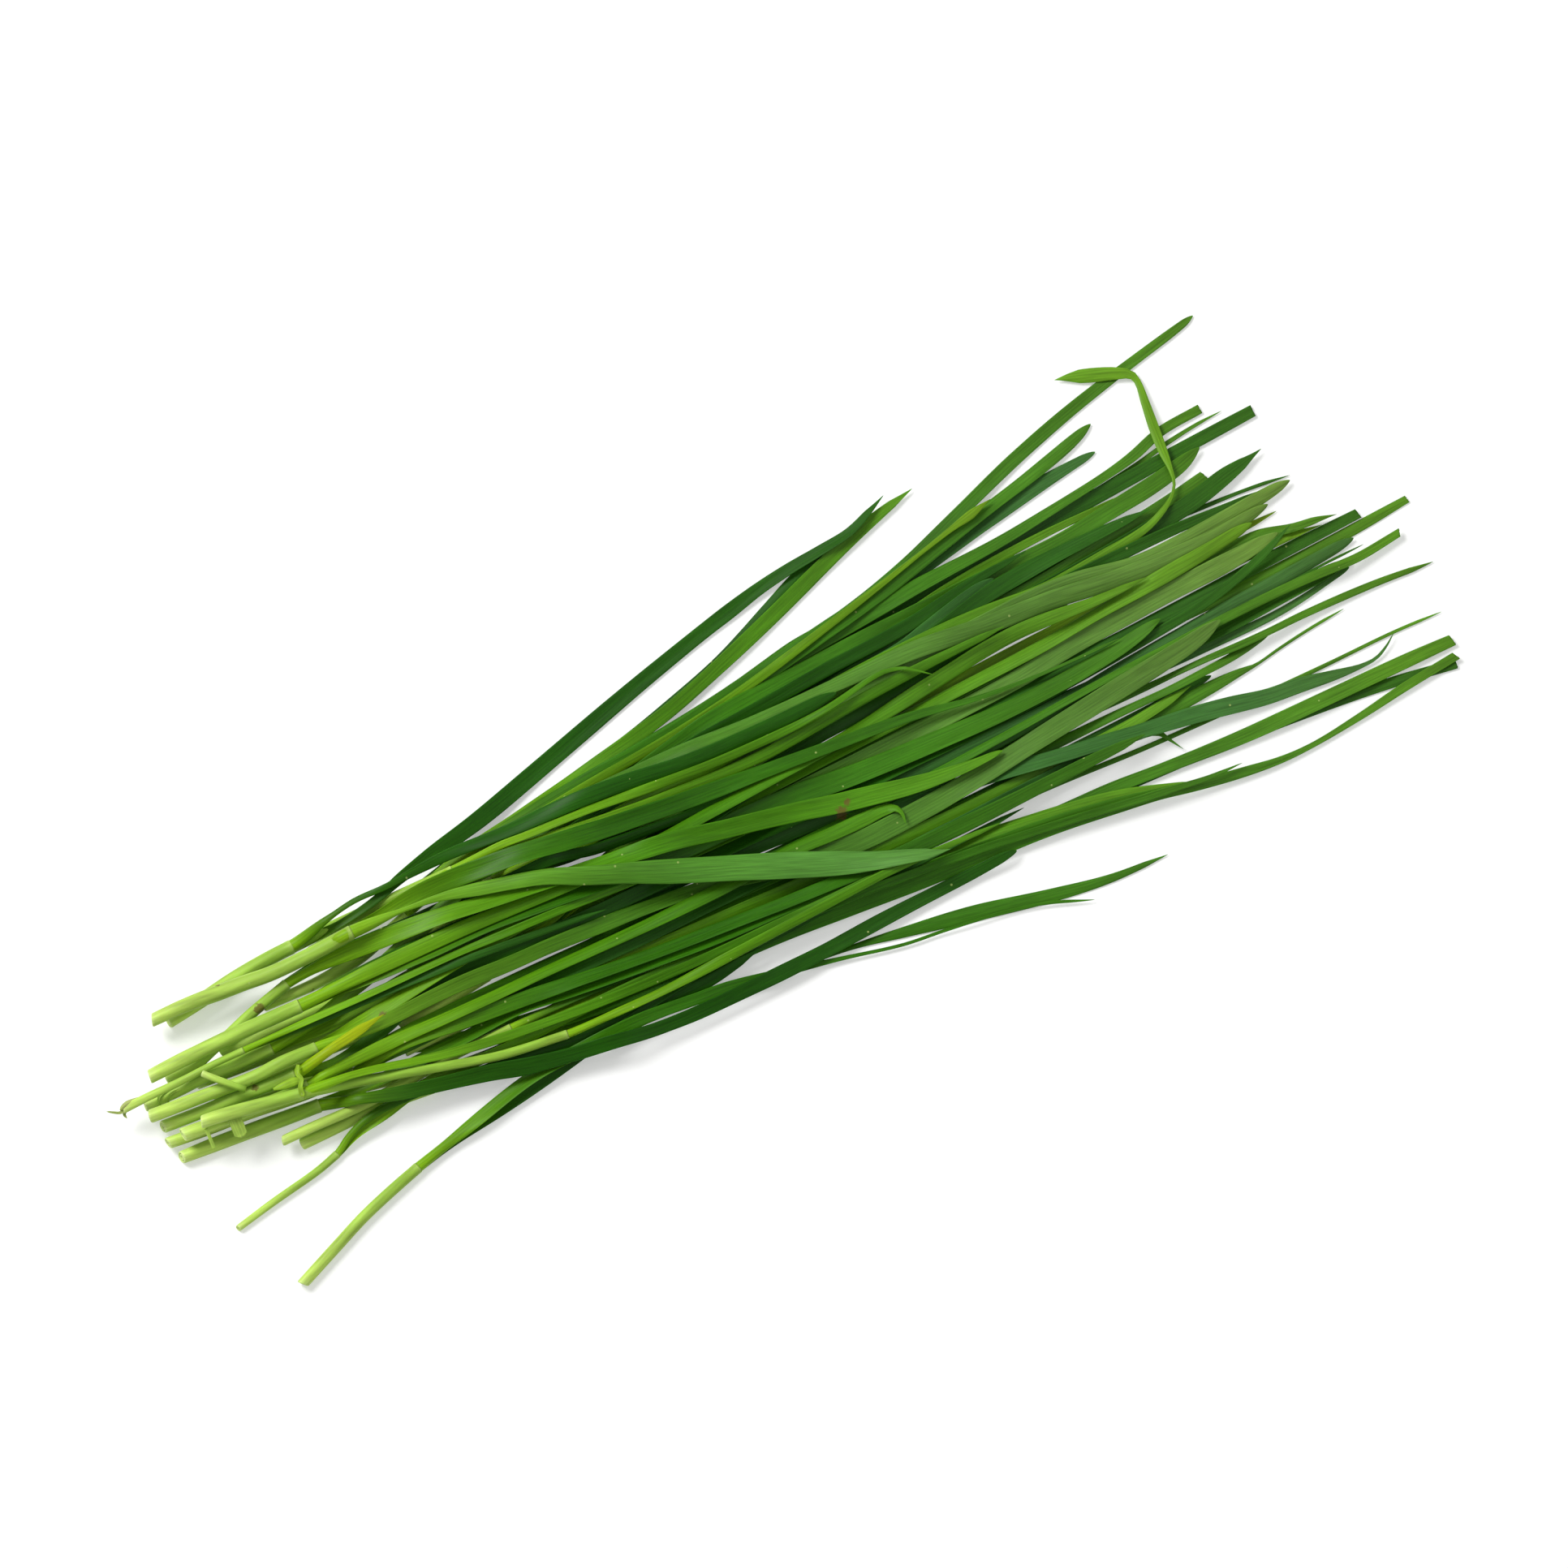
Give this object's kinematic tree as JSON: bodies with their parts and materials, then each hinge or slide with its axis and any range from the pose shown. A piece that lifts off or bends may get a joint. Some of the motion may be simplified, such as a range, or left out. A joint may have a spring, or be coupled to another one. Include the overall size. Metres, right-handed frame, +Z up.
{
  "type": "chive bunch",
  "caption": "Loose bunch of cut garlic chives lying down: pale round pseudostems fanning into long flat strap leaves, with no tie.",
  "frame": {"origin": "centre of the bounding box, at the surface the bunch lies on", "axes": "+X along the bunch from the cut ends to the leaf tips, +Y across it, +Z up"},
  "size_m": [0.3966, 0.1376, 0.0212],
  "materials": {
    "green_shoot_01": "satin",
    "green_shoot_02": "satin",
    "green_shoot_03": "satin",
    "green_shoot_04": "satin",
    "green_shoot_05": "satin",
    "green_shoot_06": "satin",
    "green_shoot_07": "satin",
    "green_shoot_08": "satin",
    "green_shoot_09": "satin",
    "green_shoot_10": "satin",
    "green_shoot_11": "satin",
    "green_shoot_12": "satin",
    "green_shoot_13": "satin",
    "green_shoot_14": "satin",
    "green_shoot_15": "satin",
    "green_shoot_16": "satin",
    "green_shoot_17": "satin",
    "green_shoot_18": "satin",
    "green_shoot_19": "satin",
    "green_shoot_20": "satin",
    "green_shoot_21": "satin",
    "green_shoot_22": "satin",
    "green_shoot_23": "satin",
    "green_shoot_24": "satin",
    "green_shoot_25": "satin",
    "green_shoot_26": "satin",
    "green_shoot_27": "satin",
    "green_loose_stalk": "satin"
  },
  "bodies": {
    "root": {"shoot_01": "green_shoot_01", "shoot_02": "green_shoot_02", "shoot_03": "green_shoot_03", "shoot_04": "green_shoot_04", "shoot_05": "green_shoot_05", "shoot_06": "green_shoot_06", "shoot_07": "green_shoot_07", "shoot_08": "green_shoot_08", "shoot_09": "green_shoot_09", "shoot_10": "green_shoot_10", "shoot_11": "green_shoot_11", "shoot_12": "green_shoot_12", "shoot_13": "green_shoot_13", "shoot_14": "green_shoot_14", "shoot_15": "green_shoot_15", "shoot_16": "green_shoot_16", "shoot_17": "green_shoot_17", "shoot_18": "green_shoot_18", "shoot_19": "green_shoot_19", "shoot_20": "green_shoot_20", "shoot_21": "green_shoot_21", "shoot_22": "green_shoot_22", "shoot_23": "green_shoot_23", "shoot_24": "green_shoot_24", "shoot_25": "green_shoot_25", "shoot_26": "green_shoot_26", "shoot_27": "green_shoot_27", "loose_stalk": "green_loose_stalk"}
  },
  "joints": []
}
